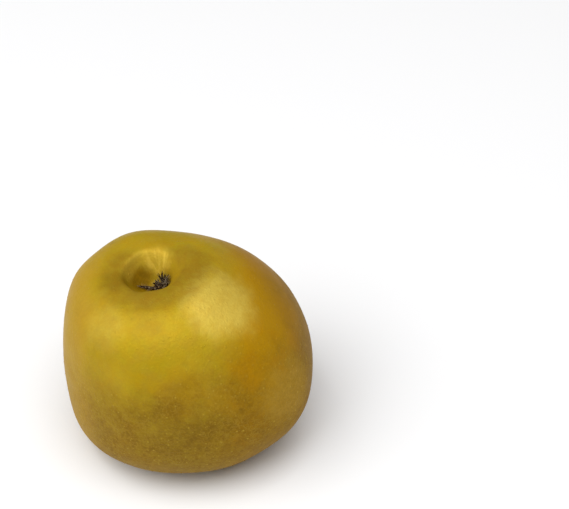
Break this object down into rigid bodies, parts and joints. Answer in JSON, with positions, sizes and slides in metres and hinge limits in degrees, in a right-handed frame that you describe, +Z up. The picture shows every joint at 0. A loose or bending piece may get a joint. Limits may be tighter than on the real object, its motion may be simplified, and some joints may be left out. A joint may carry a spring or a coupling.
{
  "type": "reinette apple",
  "caption": "Whole russet reinette apple that rests on its stalk end, with dried sepals and stamens in its eye and a short stalk in the hollow underneath.",
  "frame": {"origin": "on the table plane, under the middle of the fruit's box", "axes": "+Z up, -Y towards the viewer of the picture, +X to that viewer's right; the crown leans towards -X"},
  "size_m": [0.0854, 0.0792, 0.0719],
  "materials": {
    "russet_skin": "satin, finely russeted skin, golden olive with pale dots",
    "stalk_wood": "dull bark",
    "dried_sepal": "dry, downy, dark brown",
    "dried_stamen": "dry, matt, brown"
  },
  "bodies": {
    "root": {"fruit": "russet_skin", "stalk": "stalk_wood", "sepals": "dried_sepal", "stamens": "dried_stamen"}
  },
  "joints": []
}
